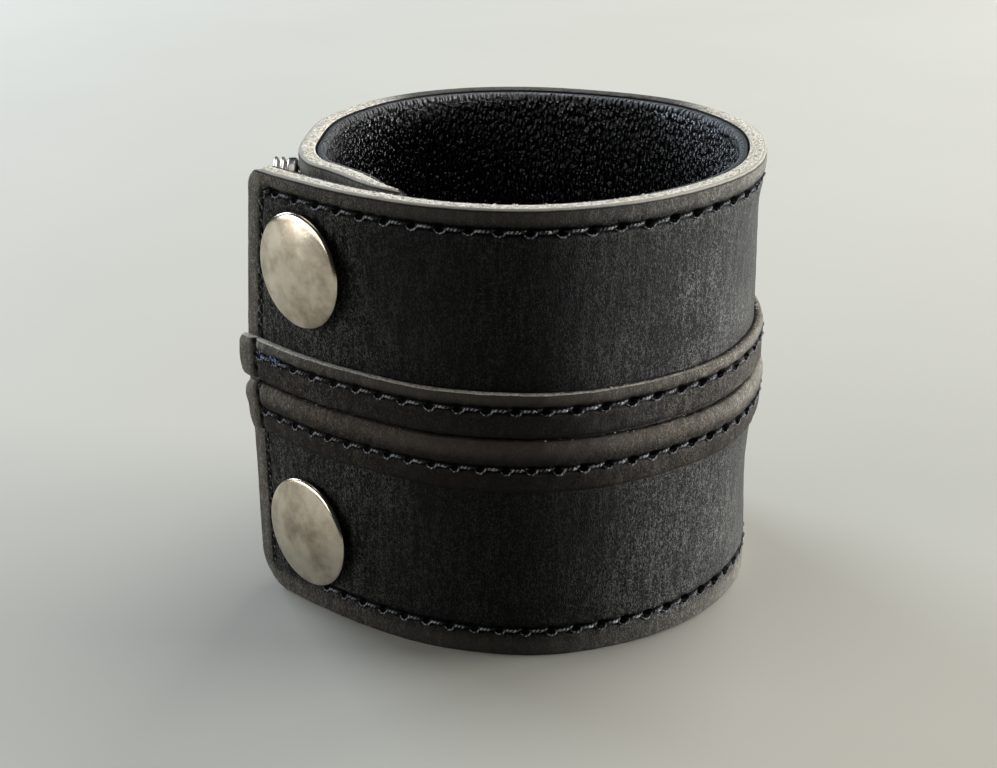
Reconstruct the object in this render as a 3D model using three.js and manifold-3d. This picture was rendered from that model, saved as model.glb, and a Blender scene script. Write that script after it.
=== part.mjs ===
// A leather cuff bracelet, closed with two snaps and standing on its lower edge.
// Millimetres, +Z up. The flap with the snap caps is at the front left, the wrist goes in along Z.
import * as THREE from "three";
import * as BufferGeometryUtils from "three/addons/utils/BufferGeometryUtils.js";
import Module from "manifold-3d";

const wasm = await Module();
wasm.setup();

// Overall sizes of the closed cuff, over the outer face of the band
const cuffWidth = 60.6;
const cuffDepth = 63.5;
const bandHeight = 59.3;

// Leathers
const leather = 2.2;
const lining = 1.0;
const bondGap = 0.3;
const liningSetback = 0.4;
const edgeChamfer = 0.4;
const fit = 0.3;

// Stitch grooves pressed into the band along its two edges
const topStitchInset = 2.5;
const bottomStitchInset = 3.6;
const grooveWidth = 1.6;
const grooveDepth = 0.3;

// Raised strips round the band. They lie between the caps' levels, with a slit between them;
// slitShare is the slit's place as a share of their room, from below.
const upperStripCapGap = 3.2;
const lowerStripCapGap = 4.6;
const slitShare = 0.522;
const slitWidth = 0.6;
const upperStripThickness = 1.1;
const lowerStripThickness = 1.0;
const stripOverhang = 0.7;
const stripEndGap = 12;

// Flap and tucked end. The flap's end is upright up to slantFrom, a share of the band's height,
// and leans back above it.
const flapTopRadius = 3.2;
const flapBottomRadius = 5.5;
const flapSlant = 2.1;
const slantFrom = 0.64;
const overlapLength = 27.4;
const tuckRadius = 2.5;

// Snaps
const capDiameter = 15;
const capRise = 1.9;
const capEndInset = 10.85;
const capTopInset = 11.5;
const capBottomInset = 11.2;
const postRadius = 1.5;
const snapHeight = 2.7;
const snapTiltRoom = 0.5;
const socketDiameter = 9.4;
const socketBase = 0.5;
const socketMouth = 2.9;
const studDiameter = 8.4;
const studFlange = 0.6;
const nippleRadius = 2.2;
const backDiameter = 8;
const backThickness = 0.5;
const spareSpacing = 13.5;
const spareDiameter = 10.5;
const spareRise = 3.4;
const spareEdgeInset = 6.2;

// Smoothness of the bends and of the turned metal
const bandSteps = 116;
const capSegments = 28;
const snapSegments = 20;

// Plan of the band's outer face, from the end of the flap round to the left side.
// across is a share of half the cuff's width, deep a share of half its depth.
const planStations = [
  { place: "flap end", across: -1.235, deep: -0.314 },
  { place: "flap at the caps", across: -0.977, deep: -0.563 },
  { place: "flap root", across: -0.748, deep: -0.745 },
  { place: "front left", across: -0.384, deep: -0.940 },
  { place: "front", across: 0.055, deep: -0.997 },
  { place: "front right", across: 0.465, deep: -0.871 },
  { place: "right turn", across: 0.784, deep: -0.606 },
  { place: "right", across: 0.960, deep: -0.245 },
  { place: "right rear", across: 0.982, deep: 0.148 },
  { place: "back right turn", across: 0.841, deep: 0.515 },
  { place: "back right", across: 0.543, deep: 0.802 },
  { place: "back", across: 0.130, deep: 0.972 },
  { place: "back left", across: -0.300, deep: 0.985 },
  { place: "back left turn", across: -0.690, deep: 0.797 },
  { place: "left rear", across: -0.935, deep: 0.440 },
  { place: "left", across: -1.002, deep: 0.050 },
  { place: "left turn", across: -0.992, deep: -0.165 },
];

// The tucked end runs behind the flap. past is how far it is past the caps, as a share of the way
// from them to its end, and lift a share of the room that the closed snaps need between the layers.
const tuckStations = [
  { past: -0.275, lift: 1.12 },
  { past: -0.043, lift: 1 },
  { past: 0.156, lift: 0.83 },
  { past: 0.370, lift: 0.52 },
  { past: 0.571, lift: 0.22 },
  { past: 0.770, lift: 0.04 },
  { past: 1.000, lift: 0 },
];

// Sections of the raised strips: up is a share of the strip's height, out a share of how far it
// stands out from the band
const upperStripSection = [
  { up: 0, out: 0.70 },
  { up: 0.12, out: 0.92 },
  { up: 0.94, out: 1 },
  { up: 1, out: 0.75 },
];
const lowerStripSection = [
  { up: 0, out: 0.60 },
  { up: 0.50, out: 0.72 },
  { up: 0.70, out: 1 },
  { up: 0.88, out: 0.95 },
  { up: 1, out: 0.60 },
];

// Outline of an exposed stud: rise is a share of its height, out a share of its radius
const spareStudOutline = [
  { rise: 0.10, out: 0.58 },
  { rise: 0.20, out: 0.82 },
  { rise: 0.36, out: 0.93 },
  { rise: 0.42, out: 1.00 },
  { rise: 0.52, out: 1.00 },
  { rise: 0.56, out: 0.84 },
  { rise: 0.64, out: 0.93 },
  { rise: 0.70, out: 0.93 },
  { rise: 0.75, out: 0.82 },
  { rise: 0.83, out: 0.90 },
  { rise: 0.94, out: 0.90 },
  { rise: 1.00, out: 0.80 },
];

// Outline of a cap's dome: rise is a share of its height, out a share of its radius
const capOutline = [
  { rise: 0.12, out: 0.93 },
  { rise: 0.12, out: 0.98 },
  { rise: 0.24, out: 1.00 },
  { rise: 0.38, out: 0.98 },
  { rise: 0.62, out: 0.86 },
  { rise: 0.82, out: 0.66 },
  { rise: 0.95, out: 0.38 },
  { rise: 1.00, out: 0.00 },
];

const up = new THREE.Vector3(0, 0, 1);
const wall = leather + bondGap + lining;

const upperStripTop = bandHeight - capTopInset - capDiameter / 2 - upperStripCapGap;
const lowerStripBottom = capBottomInset + capDiameter / 2 + lowerStripCapGap;
const slitLevel = lowerStripBottom + slitShare * (upperStripTop - lowerStripBottom);

// The inward side of a piece of the plan that runs the given way
function inwardOf(tangent) {
  return new THREE.Vector3().crossVectors(up, tangent).normalize();
}

function planPoint(station) {
  return new THREE.Vector3((station.across * cuffWidth) / 2, (station.deep * cuffDepth) / 2, 0);
}

// The band's path: round the wrist, then behind the flap with room for its layers
function bandPath() {
  const loopPoints = planStations.map(planPoint);
  const loop = new THREE.CatmullRomCurve3(loopPoints, false, "centripetal");
  loop.arcLengthDivisions = 600;
  const tuckPoints = tuckStations.map((station) => {
    const distance = capEndInset + station.past * (overlapLength - capEndInset);
    const u = distance / loop.getLength();
    const depth = wall + fit + station.lift * (snapHeight - fit);
    return loop.getPointAt(u).addScaledVector(inwardOf(loop.getTangentAt(u)), depth);
  });
  const path = new THREE.CatmullRomCurve3([...loopPoints, ...tuckPoints], false, "centripetal");
  path.arcLengthDivisions = 800;
  return path;
}

// A stretch of a path between two distances, which may start before the path does
class Stretch extends THREE.Curve {
  constructor(path, from, to) {
    super();
    this.path = path;
    this.from = from;
    this.to = to;
    this.arcLengthDivisions = 400;
  }

  getPoint(t) {
    const distance = THREE.MathUtils.lerp(this.from, this.to, t);
    const u = THREE.MathUtils.clamp(distance / this.path.getLength(), 0, 1);
    const point = this.path.getPointAt(u);
    return distance < 0 ? point.addScaledVector(this.path.getTangentAt(0), distance) : point;
  }
}

// A wall that follows a path. Its section is a list of [height, depth behind the outer face].
function wrapped(section, path, steps) {
  const shape = new THREE.Shape(section.map(([height, depth]) => new THREE.Vector2(-height, depth)));
  return new THREE.ExtrudeGeometry(shape, { steps, extrudePath: path });
}

// A turned piece whose outline is a list of [radius, rise]
function turned(outline, segments) {
  return new THREE.LatheGeometry(outline.map(([radius, rise]) => new THREE.Vector2(radius, rise)), segments);
}

// Put a piece built along +Y at a point, with +Y along an axis
function aimed(geometry, point, axis) {
  const turn = new THREE.Quaternion().setFromUnitVectors(new THREE.Vector3(0, 1, 0), axis);
  const sized = new THREE.Vector3(1, 1, 1);
  return geometry.applyMatrix4(new THREE.Matrix4().compose(point, turn, sized));
}

function toSolid(geometry) {
  const bare = geometry.clone();
  bare.deleteAttribute("normal");
  bare.deleteAttribute("uv");
  const merged = BufferGeometryUtils.mergeVertices(bare, 1e-5);
  const mesh = new wasm.Mesh({
    numProp: 3,
    vertProperties: new Float32Array(merged.attributes.position.array),
    triVerts: new Uint32Array(merged.index.array),
  });
  return new wasm.Manifold(mesh);
}

function toGeometry(solid) {
  const mesh = solid.getMesh();
  const geometry = new THREE.BufferGeometry();
  geometry.setAttribute("position", new THREE.BufferAttribute(new Float32Array(mesh.vertProperties), 3));
  geometry.setIndex(new THREE.BufferAttribute(new Uint32Array(mesh.triVerts), 1));
  geometry.computeVertexNormals();
  return geometry;
}

function cut(geometry, cutters) {
  return toGeometry(cutters.reduce((solid, cutter) => solid.subtract(toSolid(cutter)), toSolid(geometry)));
}

const path = bandPath();
const pathLength = path.getLength();

// A seat on the band's outer face: where it is, and which way is out
function seatAt(distance, height) {
  const u = distance / pathLength;
  const point = path.getPointAt(u).setZ(height);
  const outward = inwardOf(path.getTangentAt(u)).negate();
  return { point, outward, distance };
}

// The seat on the tucked end that faces a seat on the flap
function seatBehind(front) {
  const searchSteps = 400;
  const along = new THREE.Vector3().crossVectors(front.outward, up);
  let best = null;
  for (let step = 0; step <= searchSteps; step += 1) {
    const seat = seatAt(pathLength - (overlapLength * step) / searchSteps, front.point.z);
    const miss = Math.abs(seat.point.clone().sub(front.point).dot(along));
    if (best === null || miss < best.miss) {
      best = { ...seat, miss };
    }
  }
  return best;
}

// How far the leaning end of the flap lies along the band at a height
function flapEndAt(height) {
  return flapSlant * Math.max(0, (height / bandHeight - slantFrom) / (1 - slantFrom));
}

function capSeat(height) {
  return seatAt(flapEndAt(height) + capEndInset, height);
}

const capSeats = {
  upper: capSeat(bandHeight - capTopInset),
  lower: capSeat(capBottomInset),
};
const studSeats = {
  upper: seatBehind(capSeats.upper),
  lower: seatBehind(capSeats.lower),
};
const spareSeats = {
  upper: seatAt(studSeats.upper.distance - spareSpacing, bandHeight - spareEdgeInset),
  lower: seatAt(studSeats.lower.distance - spareSpacing, spareEdgeInset),
};

// What is cut off an end of the band to give it its slant and its round corners.
// side is 1 at the start of the band and -1 at its end.
function endWaste({ distance, side, slant, slantHeight, topRadius, bottomRadius, outerMargin }) {
  const margin = 2;
  const reach = outerMargin + wall + margin;
  const slanted = slant + topRadius;
  const shape = new THREE.Shape();
  shape.moveTo(-margin, -margin);
  shape.lineTo(bottomRadius, -margin);
  shape.lineTo(bottomRadius, 0);
  shape.absarc(bottomRadius, bottomRadius, bottomRadius, -Math.PI / 2, -Math.PI, true);
  shape.lineTo(0, slantHeight);
  shape.lineTo(slant, bandHeight - topRadius);
  shape.absarc(slanted, bandHeight - topRadius, topRadius, Math.PI, Math.PI / 2, true);
  shape.lineTo(slanted, bandHeight + margin);
  shape.lineTo(-margin, bandHeight + margin);
  const waste = new THREE.ExtrudeGeometry(shape, { depth: reach, bevelEnabled: false, curveSegments: 8 });
  const seat = seatAt(distance, 0);
  const alongBand = new THREE.Vector3().crossVectors(up, seat.outward).multiplyScalar(side);
  const through = new THREE.Vector3().crossVectors(alongBand, up);
  waste.translate(0, 0, side > 0 ? outerMargin - reach : -outerMargin);
  return waste.applyMatrix4(new THREE.Matrix4().makeBasis(alongBand, up, through).setPosition(seat.point));
}

function bandEnds() {
  return [
    endWaste({
      distance: 0,
      side: 1,
      slant: flapSlant,
      slantHeight: slantFrom * bandHeight,
      topRadius: flapTopRadius,
      bottomRadius: flapBottomRadius,
      outerMargin: 2,
    }),
    endWaste({
      distance: pathLength,
      side: -1,
      slant: 0,
      slantHeight: slantFrom * bandHeight,
      topRadius: tuckRadius,
      bottomRadius: tuckRadius,
      outerMargin: fit / 2,
    }),
  ];
}

// A round hole between two depths behind the outer face
function hole(seat, radius, from, to) {
  const drill = new THREE.CylinderGeometry(radius, radius, to - from, snapSegments);
  const middle = seat.point.clone().addScaledVector(seat.outward, -(from + to) / 2);
  return aimed(drill, middle, seat.outward);
}

const drillMargin = 1.5;
const postHole = postRadius + fit;

// A stud's post goes through the band, and its back lies in a recess under the lining
function studHoles() {
  const seats = [...Object.values(studSeats), ...Object.values(spareSeats)];
  return seats.flatMap((seat) => [
    hole(seat, postHole, -drillMargin, leather + bondGap),
    hole(seat, backDiameter / 2 + fit, leather - backThickness - fit, leather + bondGap),
  ]);
}

function capHoles() {
  return Object.values(capSeats).map((seat) => hole(seat, postHole, -drillMargin, wall + drillMargin));
}

function bandGeometry() {
  const half = grooveWidth / 2;
  const topStitch = bandHeight - topStitchInset;
  const section = [
    [0, edgeChamfer],
    [edgeChamfer, 0],
    [bottomStitchInset - half, 0],
    [bottomStitchInset, grooveDepth],
    [bottomStitchInset + half, 0],
    [topStitch - half, 0],
    [topStitch, grooveDepth],
    [topStitch + half, 0],
    [bandHeight - edgeChamfer, 0],
    [bandHeight, edgeChamfer],
    [bandHeight, leather],
    [0, leather],
  ];
  const whole = wrapped(section, path, bandSteps);
  return cut(whole, [...bandEnds(), ...capHoles(), ...studHoles()]);
}

function liningGeometry() {
  const outer = leather + bondGap;
  const section = [
    [liningSetback, outer],
    [bandHeight - liningSetback, outer],
    [bandHeight - liningSetback, wall],
    [liningSetback, wall],
  ];
  return cut(wrapped(section, path, bandSteps), [...bandEnds(), ...capHoles()]);
}

// The strips lie on the outer face, from past the flap's end to short of the spare studs
const stripStart = flapEndAt(slitLevel) - stripOverhang;
const stripStretch = new Stretch(path, stripStart, spareSeats.upper.distance - stripEndGap);
const stripSteps = Math.round((bandSteps * (stripStretch.to - stripStretch.from)) / pathLength);

function stripGeometry(table, bottom, top, thickness) {
  const crest = fit + thickness;
  const outer = table.map(({ up: share, out }) => [bottom + share * (top - bottom), -out * crest]);
  return wrapped([[bottom, -fit], ...outer, [top, -fit]], stripStretch, stripSteps);
}

function upperStripGeometry() {
  return stripGeometry(upperStripSection, slitLevel + slitWidth / 2, upperStripTop, upperStripThickness);
}

function lowerStripGeometry() {
  return stripGeometry(lowerStripSection, lowerStripBottom, slitLevel - slitWidth / 2, lowerStripThickness);
}

// A domed cap on the flap, with the post that goes through it into the socket
function capGeometry(seat) {
  const postEnd = -(wall + fit + socketBase);
  const dome = capOutline.map(({ rise, out }) => [(out * capDiameter) / 2, rise * capRise]);
  const underside = dome[0][1];
  return aimed(turned([[0, postEnd], [postRadius, postEnd], [postRadius, underside], ...dome], capSegments),
    seat.point, seat.outward);
}

// A socket ring on the inside of the flap, open towards the tucked end
function socketGeometry(seat) {
  const height = snapHeight - 3 * fit - studFlange - snapTiltRoom;
  const outer = socketDiameter / 2;
  const outline = [
    [postHole, 0],
    [outer, 0],
    [outer, height],
    [socketMouth, height],
    [socketMouth, socketBase],
    [postHole, socketBase],
    [postHole, 0],
  ];
  const foot = seat.point.clone().addScaledVector(seat.outward, -(wall + fit));
  return aimed(turned(outline, snapSegments), foot, seat.outward.clone().negate());
}

// The post and back of a stud, from its axis up to the underside of its flange
function studRoot() {
  const backFace = -leather + fit / 2;
  return [
    [0, backFace],
    [backDiameter / 2, backFace],
    [backDiameter / 2, backFace + backThickness],
    [postRadius, backFace + backThickness],
    [postRadius, fit],
  ];
}

function closingStudGeometry(seat) {
  const flangeTop = fit + studFlange;
  const nippleTop = snapHeight - 2 * fit - socketBase - snapTiltRoom;
  const outline = [
    ...studRoot(),
    [studDiameter / 2, fit],
    [studDiameter / 2, flangeTop],
    [nippleRadius, flangeTop],
    [nippleRadius, nippleTop],
    [0, nippleTop],
  ];
  return aimed(turned(outline, snapSegments), seat.point, seat.outward);
}

function spareStudGeometry(seat) {
  const drum = spareStudOutline.map(({ rise, out }) => [(out * spareDiameter) / 2, rise * spareRise]);
  const outline = [...studRoot().slice(0, -1), [postRadius, drum[0][1]], ...drum, [0, spareRise]];
  return aimed(turned(outline, snapSegments), seat.point, seat.outward);
}

const cuff = new THREE.Group();
cuff.name = "cuff_bracelet";

function add(name, geometry, colour, roughness, metalness) {
  const material = new THREE.MeshStandardMaterial({ color: colour, roughness, metalness });
  material.name = name;
  const mesh = new THREE.Mesh(geometry, material);
  mesh.name = name;
  cuff.add(mesh);
}

add("outer_band", bandGeometry(), 0x2b2927, 0.55, 0);
add("lining", liningGeometry(), 0x15161a, 0.5, 0);
add("upper_strip", upperStripGeometry(), 0x35322f, 0.55, 0);
add("lower_strip", lowerStripGeometry(), 0x3a332d, 0.5, 0);
for (const row of ["upper", "lower"]) {
  add(`snap_cap_${row}`, capGeometry(capSeats[row]), 0xb5ada3, 0.3, 1);
  add(`snap_socket_${row}`, socketGeometry(capSeats[row]), 0xa39c92, 0.35, 1);
  add(`snap_stud_${row}`, closingStudGeometry(studSeats[row]), 0xa39c92, 0.35, 1);
  add(`spare_stud_${row}`, spareStudGeometry(spareSeats[row]), 0xc4bfb6, 0.25, 1);
}

// The origin is at the middle of the cuff's box, on the surface that it stands on
const box = new THREE.Box3().setFromObject(cuff);
const middle = box.getCenter(new THREE.Vector3());
cuff.position.set(-middle.x, -middle.y, -box.min.z);

export default cuff;
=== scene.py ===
# A leather cuff bracelet, closed with two snaps: the look of each piece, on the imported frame.
# Sizes are in millimetres and are turned into metres where a mesh is placed.
import math
import random

import bmesh
import bpy
import numpy as np
from mathutils import Matrix, Vector


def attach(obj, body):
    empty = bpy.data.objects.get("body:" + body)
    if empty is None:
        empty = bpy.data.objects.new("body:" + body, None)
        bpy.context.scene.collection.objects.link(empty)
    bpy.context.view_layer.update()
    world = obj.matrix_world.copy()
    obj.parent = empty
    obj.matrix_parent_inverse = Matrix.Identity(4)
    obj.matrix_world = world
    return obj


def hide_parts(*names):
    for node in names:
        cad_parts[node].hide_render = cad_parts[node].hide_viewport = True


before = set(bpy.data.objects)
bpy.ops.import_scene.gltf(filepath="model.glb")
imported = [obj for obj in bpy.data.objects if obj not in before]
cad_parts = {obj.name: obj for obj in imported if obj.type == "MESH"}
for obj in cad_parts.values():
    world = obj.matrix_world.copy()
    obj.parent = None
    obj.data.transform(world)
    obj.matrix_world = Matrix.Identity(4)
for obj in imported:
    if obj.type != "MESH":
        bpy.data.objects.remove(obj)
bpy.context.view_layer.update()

MM = 0.001
TINY = 1e-3

# The band
CUFF_WIDTH = 60.6
CUFF_DEPTH = 63.5
HEIGHT = 59.3
LEATHER = 2.2
LINING = 1.0
# The gaps that the solids leave: behind the leather, and between pieces that touch
BOND_GAP = 0.3
FIT = 0.3
WALL = LEATHER + BOND_GAP + LINING
LINING_SETBACK = 0.3
LINING_END_SETBACK = 0.25
OVERLAP = 27.4
SNAP_HEIGHT = 2.7
FLAP_SLANT = 2.1
SLANT_FROM = 0.64
FLAP_TOP_RADIUS = 2.4
FLAP_BOTTOM_RADIUS = 5.5
TUCK_RADIUS = 2.5
TUCK_TOP_RADIUS = 3.2
# How much thinner the tucked end is pared, and over how long a stretch
TUCK_SKIVE = 1.75
TUCK_PARED_LONG = 12

# From the path's own origin to the middle of the whole bracelet
CENTRE = np.array([3.718, -0.029])

# The outer face in plan, from the flap's end round to the left side, as shares of half the
# width and of half the depth
PLAN = [
    (-1.235, -0.314), (-0.977, -0.563), (-0.748, -0.745), (-0.384, -0.940), (0.055, -0.997),
    (0.465, -0.871), (0.784, -0.606), (0.960, -0.245), (0.982, 0.148), (0.841, 0.515),
    (0.543, 0.802), (0.130, 0.972), (-0.300, 0.985), (-0.690, 0.797), (-0.935, 0.440),
    (-1.002, 0.050), (-0.992, -0.165),
]
# The tucked end: a share of the way from the caps to its end, and of the room for the snaps
TUCK = [(-0.275, 1.12), (-0.043, 1.0), (0.156, 0.83), (0.370, 0.52), (0.571, 0.22), (0.770, 0.04), (1.0, 0.0)]

# Strips
SLIT_LEVEL = 30.5
SLIT_WIDTH = 0.6
UPPER_STRIP = (SLIT_LEVEL + SLIT_WIDTH / 2, 36.45)
LOWER_STRIP = (23.3, SLIT_LEVEL - SLIT_WIDTH / 2)
UPPER_THICKNESS = 1.05
LOWER_THICKNESS = 0.95
STRIP_SEAT = 0.06
UPPER_OVERHANG = 0.7
LOWER_OVERHANG = 0.1
STRIP_END_GAP = 12
# The upper strip is pressed flatter at the right: by which share, and over which stretch
PRESS = 0.10
PRESS_SPAN = (45, 75)

# Stitch lines: the level, the way along to the first hole, and the spacing of the awl holes
TOP_LINE = (HEIGHT - 2.5, 7.45, 3.67)
BOTTOM_LINE = (3.6, 13.6, 3.3)
UPPER_LINE = (34.5, 3.9, 3.5)
LOWER_LINE = (26.5, 3.9, 3.1)
# How far before the end of the band and of the strips they stop
BAND_LINE_END = 4
STRIP_LINE_END = 3
GROOVE = 0.32
HOLE_DEPTH = 0.55
THREAD_SEAT = 0.06
# How deep the upright thread is pulled into the strips, and how deep it and its arc sit in their groove
PULLED_IN = 0.50
FLAP_THREAD_SEAT = 0.20
ARC_THREAD_SEAT = 0.16
# The top line drifts down along the front: how fast, and up to where
DRIFT = 0.0075
DRIFT_END = 80
# The darkest place on the front, along the band: the leather is painted darker towards it, as painted shade
# where the front turns from the lamps
SHADED_FRONT = 40
# The upright line near the flap's end, and the arc that turns it into the top line
FLAP_LINE = 2.65
FLAP_PITCH = 1.8
TURN_RADIUS = 2.45
CORNER_STITCHES = 2
FLAP_LINE_TOP = TOP_LINE[0] - TURN_RADIUS

# Where the rim's cut edge is dim, along the back; where the upper strip's edge starts to carry painted shade
# next to the band; and where that edge wears dull
DIM_RIM = (106, 168)
STRIP_SHADE_START = 38
STRIP_WORN = (52, 72)

# Snaps
CAP_DIAMETER = 15
CAP_RISE = 1.9
CAP_END_INSET = 10.85
# The caps lean a little in the soft leather, towards the flap's end
CAP_SHIFT = 0.28
CAP_LIFT = 0.2
CAP_TILT = -3.0
CAP_LEVELS = {"upper": HEIGHT - 11.5, "lower": 11.2}
SPARE_SPACING = 13.5
SPARE_EDGE_INSET = 6.2

# The photo's camera, in pixels of the photo, metres and degrees
PHOTO_SIZE = (997, 768)
PHOTO_AXIS = (500, 378)
FOCAL_PIXELS = 1808
CAMERA_PLACE = (-0.000635, -0.232626, 0.1195)
CAMERA_PITCH = 22
CAMERA_ROLL = -0.53
SENSOR_WIDTH = 36

# Points on each stretch of a smooth line
PATH_STEPS = 40


class Path:
    """A smooth line in plan through some places, measured along its length."""

    def __init__(self, places):
        known = np.array(places, float)
        known = np.vstack([2 * known[0] - known[1], known, 2 * known[-1] - known[-2]])
        share = np.linspace(0, 1, PATH_STEPS, endpoint=False)[:, None]
        points, tangents = [], []
        for i in range(1, len(known) - 2):
            p0, p1, p2, p3 = known[i - 1 : i + 3]
            d0, d1, d2 = (np.linalg.norm(b - a) ** 0.5 for a, b in ((p0, p1), (p1, p2), (p2, p3)))
            t1 = ((p1 - p0) / d0 - (p2 - p0) / (d0 + d1) + (p2 - p1) / d1) * d1
            t2 = ((p2 - p1) / d1 - (p3 - p1) / (d1 + d2) + (p3 - p2) / d2) * d1
            c2 = -3 * p1 + 3 * p2 - 2 * t1 - t2
            c3 = 2 * p1 - 2 * p2 + t1 + t2
            points.append(p1 + t1 * share + c2 * share**2 + c3 * share**3)
            tangents.append(t1 + 2 * c2 * share + 3 * c3 * share**2)
            last = (p2, t2)
        self.points = np.vstack([*points, last[0][None]])
        tangents = np.vstack([*tangents, last[1][None]])
        self.tangents = tangents / np.linalg.norm(tangents, axis=1)[:, None]
        steps = np.linalg.norm(np.diff(self.points, axis=0), axis=1)
        self.marks = np.concatenate([[0], np.cumsum(steps)])
        self.length = self.marks[-1]

    def at(self, distance):
        distance = np.atleast_1d(np.asarray(distance, float))
        inside = np.clip(distance, 0, self.length)
        place = np.stack([np.interp(inside, self.marks, self.points[:, k]) for k in (0, 1)], 1)
        tangent = np.stack([np.interp(inside, self.marks, self.tangents[:, k]) for k in (0, 1)], 1)
        tangent /= np.linalg.norm(tangent, axis=1)[:, None]
        return place + tangent * (distance - inside)[:, None], tangent


def outward_of(tangent):
    """The way out of the band, square to its tangent."""
    return np.stack([tangent[:, 1], -tangent[:, 0]], 1)


def band_path():
    """The band's outer face in plan: once round, and then in behind the flap."""
    loop_places = [(a * CUFF_WIDTH / 2, d * CUFF_DEPTH / 2) for a, d in PLAN]
    loop = Path(loop_places)
    tucked = []
    for past, lift in TUCK:
        place, tangent = loop.at(CAP_END_INSET + past * (OVERLAP - CAP_END_INSET))
        depth = WALL + FIT + lift * (SNAP_HEIGHT - FIT)
        tucked.append(tuple((place - outward_of(tangent) * depth)[0]))
    return Path(loop_places + tucked)


band = band_path()
LENGTH = band.length
TUCK_PARED = (LENGTH - TUCK_PARED_LONG, LENGTH + 1)


def near(value, middle, width):
    """One in the middle, fading smoothly to nought over a width."""
    return np.exp(-(((value - middle) / width) ** 2))


def rise(value, low, high):
    """Nought up to low and one from high, with a smooth rise between."""
    share = np.clip((value - low) / (high - low), 0, 1)
    return share * share * (3 - 2 * share)


def swell(s, h):
    """How far the whole wall stands out of its plan: the hand-worn waviness and, at the right, the
    flared rim, the stitch line that draws it in, and the bulge and hollow under the strips."""
    wave = 0.10 * np.sin(s / 5.9 + 0.6) * np.sin(math.pi * h / HEIGHT)
    wave += 0.06 * np.sin(s / 3.1 + h / 8.0)
    right = rise(s, 60, 84) * (1 - rise(s, 112, 134))
    rim = right * (0.85 * rise(h, HEIGHT - 7.5, HEIGHT - 1) - 0.12 * near(h, TOP_LINE[0] - 0.5, 0.8))
    rim += right * (0.45 * near(h, 25, 5) - 0.25 * near(h, 14, 6))
    return wave * (1 - rise(s, LENGTH - 34, LENGTH - 26)) * rise(s, 3, 16) + rim


def wrap(s, h, out):
    """Places in the model, in metres, from the way along the band, the height and the way out."""
    s, h, out = (np.asarray(v, float) for v in (s, h, out))
    place, tangent = band.at(s)
    flat = place + outward_of(tangent) * (out + swell(s, h))[:, None] + CENTRE
    return np.column_stack([flat, h]) * MM


def flap_end(h):
    """Where the flap's end stands at a height: it slants away towards its top."""
    return FLAP_SLANT * np.maximum(0, (np.asarray(h, float) / HEIGHT - SLANT_FROM) / (1 - SLANT_FROM))


def corner(h, bottom_radius, top_radius):
    """How far a rounded end of the band is cut back at a height."""
    low = np.clip(bottom_radius - h, 0, bottom_radius)
    high = np.clip(h - (HEIGHT - top_radius), 0, top_radius)
    cut_low = bottom_radius - np.sqrt(np.maximum(bottom_radius**2 - low**2, 0))
    cut_high = top_radius - np.sqrt(np.maximum(top_radius**2 - high**2, 0))
    return cut_low + cut_high


TURN_CENTRE = float(flap_end(FLAP_LINE_TOP)) + FLAP_LINE + TURN_RADIUS


def band_ends(h):
    """Where the band starts and stops at a height, with its rounded corners."""
    start = flap_end(h) + corner(h, FLAP_BOTTOM_RADIUS, FLAP_TOP_RADIUS)
    return start, LENGTH - corner(h, TUCK_RADIUS, TUCK_TOP_RADIUS)


# Mesh helpers

# The pieces' own map, in millimetres along the band and up
MAP = "along_up"
# Vertices nearer than this are merged, in metres
MERGE = 1e-6
THREAD_MERGE = 2e-6


def finished(bm, name, materials, nodes=()):
    """Makes a piece of a mesh, hangs it on the root, and hides the frame's nodes that it stands for."""
    mesh = bpy.data.meshes.new(name)
    bm.to_mesh(mesh)
    bm.free()
    for face in mesh.polygons:
        face.use_smooth = True
    for material in materials:
        mesh.materials.append(material)
    piece = bpy.data.objects.new(name, mesh)
    bpy.context.scene.collection.objects.link(piece)
    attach(piece, "root")
    if nodes:
        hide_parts(*nodes)
    return piece


def new_mesh():
    bm = bmesh.new()
    bm.loops.layers.uv.new(MAP)
    return bm


def sheet_grid(bm, across, up):
    """A grid of faces. Gives its vertices with the column and row of each."""
    made = bmesh.ops.create_grid(bm, x_segments=across, y_segments=up, size=1, calc_uvs=True)
    verts = made["verts"]
    co = np.array([v.co for v in verts])
    cols = np.rint((co[:, 0] + 1) / 2 * across).astype(int)
    rows = np.rint((co[:, 1] + 1) / 2 * up).astype(int)
    return verts, cols, rows


def move_all(verts, places):
    for vert, place in zip(verts, places.tolist()):
        vert.co = place


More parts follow.
